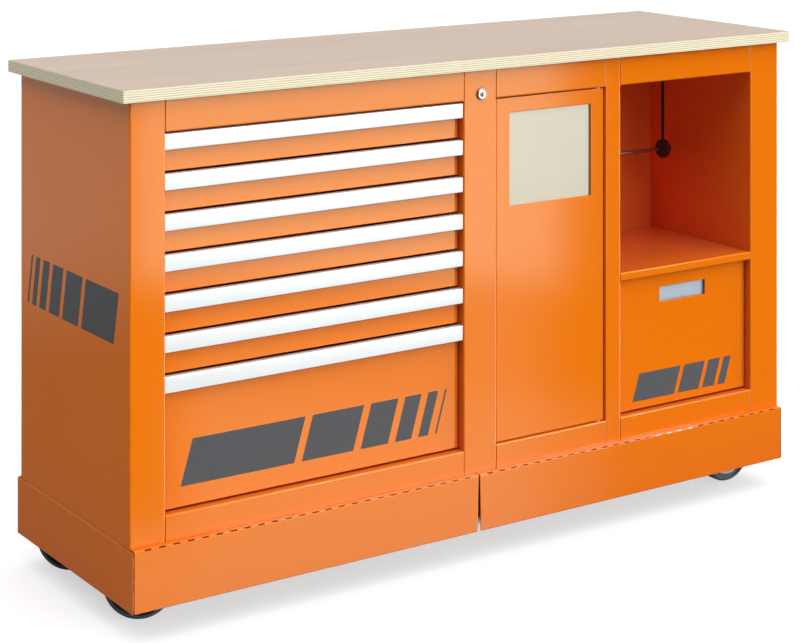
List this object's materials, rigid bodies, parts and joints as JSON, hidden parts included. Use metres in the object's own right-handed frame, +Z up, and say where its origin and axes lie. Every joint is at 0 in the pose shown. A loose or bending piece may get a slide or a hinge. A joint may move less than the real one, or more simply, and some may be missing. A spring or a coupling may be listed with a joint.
{
  "type": "mobile workshop cabinet",
  "caption": "Steel workshop cabinet on castors with a plywood worktop, drawers with aluminium handle strips, a door with a waste flap and an open niche with a paper-roll spindle.",
  "frame": {"origin": "on the floor, under the middle of the worktop", "axes": "+X along the front to the right, -Y is the front, +Z up"},
  "size_m": [1.55, 0.485, 0.949],
  "materials": {
    "orange_paint": "gloss powder coat",
    "plywood": "clear lacquer",
    "satin_aluminium": "satin anodised",
    "zinc_steel": "bright zinc plate",
    "bare_steel": "brushed",
    "chrome": "polished",
    "black_paint": "satin",
    "black_plastic": "matte",
    "castor_tyre": "matte"
  },
  "bodies": {
    "cabinet": {"back_panel": "orange_paint", "back_skirt": "orange_paint", "base_bolts": "zinc_steel", "ceiling_pan": "orange_paint", "centre_pillar": "orange_paint", "door_pivot_pins": "zinc_steel", "fixed_castor_forks": "zinc_steel", "floor_pan": "orange_paint", "front_rails": "orange_paint", "front_skirt_left": "orange_paint", "front_skirt_right": "orange_paint", "left_side_panel": "orange_paint", "lock_barrel": "chrome", "niche_back": "orange_paint", "niche_pillar": "orange_paint", "niche_shelf": "orange_paint", "right_side_panel": "orange_paint", "roll_hangers": "black_paint", "side_skirts": "orange_paint", "slide_channels": "zinc_steel", "swivel_castor_mounts": "zinc_steel", "waste_bin": "black_plastic", "worktop": "plywood", "worktop_screws": "zinc_steel"},
    "drawer_1": {"drawer_1_tray": "orange_paint", "drawer_1_handle": "satin_aluminium", "drawer_1_runners": "zinc_steel"},
    "drawer_2": {"drawer_2_tray": "orange_paint", "drawer_2_handle": "satin_aluminium", "drawer_2_runners": "zinc_steel"},
    "drawer_3": {"drawer_3_tray": "orange_paint", "drawer_3_handle": "satin_aluminium", "drawer_3_runners": "zinc_steel"},
    "drawer_4": {"drawer_4_tray": "orange_paint", "drawer_4_handle": "satin_aluminium", "drawer_4_runners": "zinc_steel"},
    "drawer_5": {"drawer_5_tray": "orange_paint", "drawer_5_handle": "satin_aluminium", "drawer_5_runners": "zinc_steel"},
    "drawer_6": {"drawer_6_tray": "orange_paint", "drawer_6_handle": "satin_aluminium", "drawer_6_runners": "zinc_steel"},
    "drawer_7": {"drawer_7_tray": "orange_paint", "drawer_7_handle": "satin_aluminium", "drawer_7_runners": "zinc_steel"},
    "lower_drawer": {"lower_drawer_box": "orange_paint", "lower_drawer_grip": "bare_steel", "lower_drawer_runners": "zinc_steel"},
    "door": {"door_panel": "orange_paint", "flap_pin": "zinc_steel"},
    "flap": {"waste_flap": "bare_steel"},
    "lock_plug": {"lock_plug": "chrome"},
    "lock_bar": {"lock_bar": "zinc_steel"},
    "roll_spindle": {"roll_spindle": "chrome"},
    "front_swivel": {"front_swivel_fork": "zinc_steel"},
    "front_left_wheel": {"front_left_wheel": "castor_tyre"},
    "front_right_wheel": {"front_right_wheel": "castor_tyre"},
    "rear_swivel": {"rear_swivel_fork": "zinc_steel"},
    "rear_left_wheel": {"rear_left_wheel": "castor_tyre"},
    "rear_right_wheel": {"rear_right_wheel": "castor_tyre"}
  },
  "joints": [
    {"name": "drawer_1_slide", "type": "slide", "parent": "cabinet", "child": "drawer_1", "axis": [0, -1, 0], "range_m": [0, 0.3]},
    {"name": "drawer_2_slide", "type": "slide", "parent": "cabinet", "child": "drawer_2", "axis": [0, -1, 0], "range_m": [0, 0.3]},
    {"name": "drawer_3_slide", "type": "slide", "parent": "cabinet", "child": "drawer_3", "axis": [0, -1, 0], "range_m": [0, 0.3]},
    {"name": "drawer_4_slide", "type": "slide", "parent": "cabinet", "child": "drawer_4", "axis": [0, -1, 0], "range_m": [0, 0.3]},
    {"name": "drawer_5_slide", "type": "slide", "parent": "cabinet", "child": "drawer_5", "axis": [0, -1, 0], "range_m": [0, 0.3]},
    {"name": "drawer_6_slide", "type": "slide", "parent": "cabinet", "child": "drawer_6", "axis": [0, -1, 0], "range_m": [0, 0.3]},
    {"name": "drawer_7_slide", "type": "slide", "parent": "cabinet", "child": "drawer_7", "axis": [0, -1, 0], "range_m": [0, 0.3]},
    {"name": "lower_drawer_slide", "type": "slide", "parent": "cabinet", "child": "lower_drawer", "axis": [0, -1, 0], "range_m": [0, 0.3]},
    {"name": "door_swing", "type": "hinge", "parent": "cabinet", "child": "door", "pos_m": [0.276, -0.218, 0.5385], "axis": [0, 0, 1], "range_deg": [0, 95]},
    {"name": "flap_swing", "type": "hinge", "parent": "door", "child": "flap", "pos_m": [0.1555, -0.2155, 0.847], "axis": [1, 0, 0], "range_deg": [0, 60]},
    {"name": "lock_turn", "type": "hinge", "parent": "cabinet", "child": "lock_plug", "pos_m": [-0.014, -0.2155, 0.88], "axis": [0, -1, 0], "range_deg": [0, 90]},
    {"name": "lock_bar_lift", "type": "slide", "parent": "cabinet", "child": "lock_bar", "axis": [0, 0, 1], "range_m": [0, 0.0113]},
    {"name": "roll_spin", "type": "hinge", "parent": "cabinet", "child": "roll_spindle", "pos_m": [0.503, -0.0025, 0.682], "axis": [1, 0, 0], "continuous": true},
    {"name": "front_castor_swivel", "type": "hinge", "parent": "cabinet", "child": "front_swivel", "pos_m": [-0.657, -0.1395, 0.15], "axis": [0, 0, 1], "continuous": true},
    {"name": "front_left_wheel_spin", "type": "hinge", "parent": "front_swivel", "child": "front_left_wheel", "pos_m": [-0.68471, -0.1235, 0.0625], "axis": [0.5, 0.866, 0], "continuous": true},
    {"name": "front_right_wheel_spin", "type": "hinge", "parent": "cabinet", "child": "front_right_wheel", "pos_m": [0.676, -0.1455, 0.0625], "axis": [0, 1, 0], "continuous": true},
    {"name": "rear_castor_swivel", "type": "hinge", "parent": "cabinet", "child": "rear_swivel", "pos_m": [-0.657, 0.1395, 0.15], "axis": [0, 0, 1], "continuous": true},
    {"name": "rear_left_wheel_spin", "type": "hinge", "parent": "rear_swivel", "child": "rear_left_wheel", "pos_m": [-0.68471, 0.1555, 0.0625], "axis": [0.5, 0.866, 0], "continuous": true},
    {"name": "rear_right_wheel_spin", "type": "hinge", "parent": "cabinet", "child": "rear_right_wheel", "pos_m": [0.676, 0.1455, 0.0625], "axis": [0, 1, 0], "continuous": true}
  ],
  "couplings": [
    {"joint": "lock_turn", "follows": "lock_bar_lift", "rad_per_m": 138.84}
  ]
}
